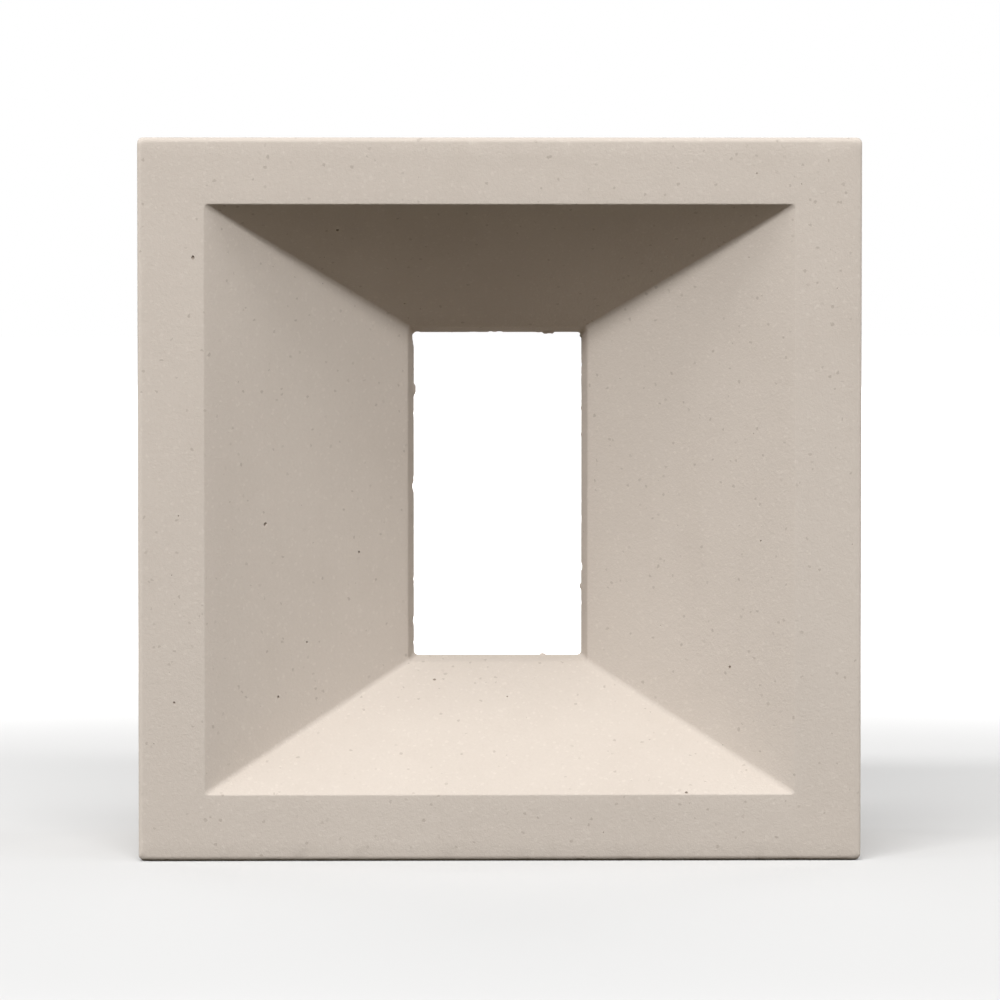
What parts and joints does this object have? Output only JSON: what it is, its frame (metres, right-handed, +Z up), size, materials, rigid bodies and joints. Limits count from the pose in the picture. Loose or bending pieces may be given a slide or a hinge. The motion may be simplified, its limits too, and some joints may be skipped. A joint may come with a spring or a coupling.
{
  "type": "hollow partition block",
  "caption": "Square cast screen-wall block with a four-sided funnel in each show face, tapering to a tall rectangular slot that goes right through.",
  "frame": {"origin": "middle of the lower bed, the face that the block stands on", "axes": "+X along the wall, +Y through the wall away from the viewer of the front show face, +Z up"},
  "size_m": [0.19, 0.09, 0.19],
  "materials": {
    "cast_concrete": "matte greige fine cast concrete, smooth from the mould, with faint mottling"
  },
  "bodies": {
    "root": {"screen_block": "cast_concrete"}
  },
  "joints": []
}
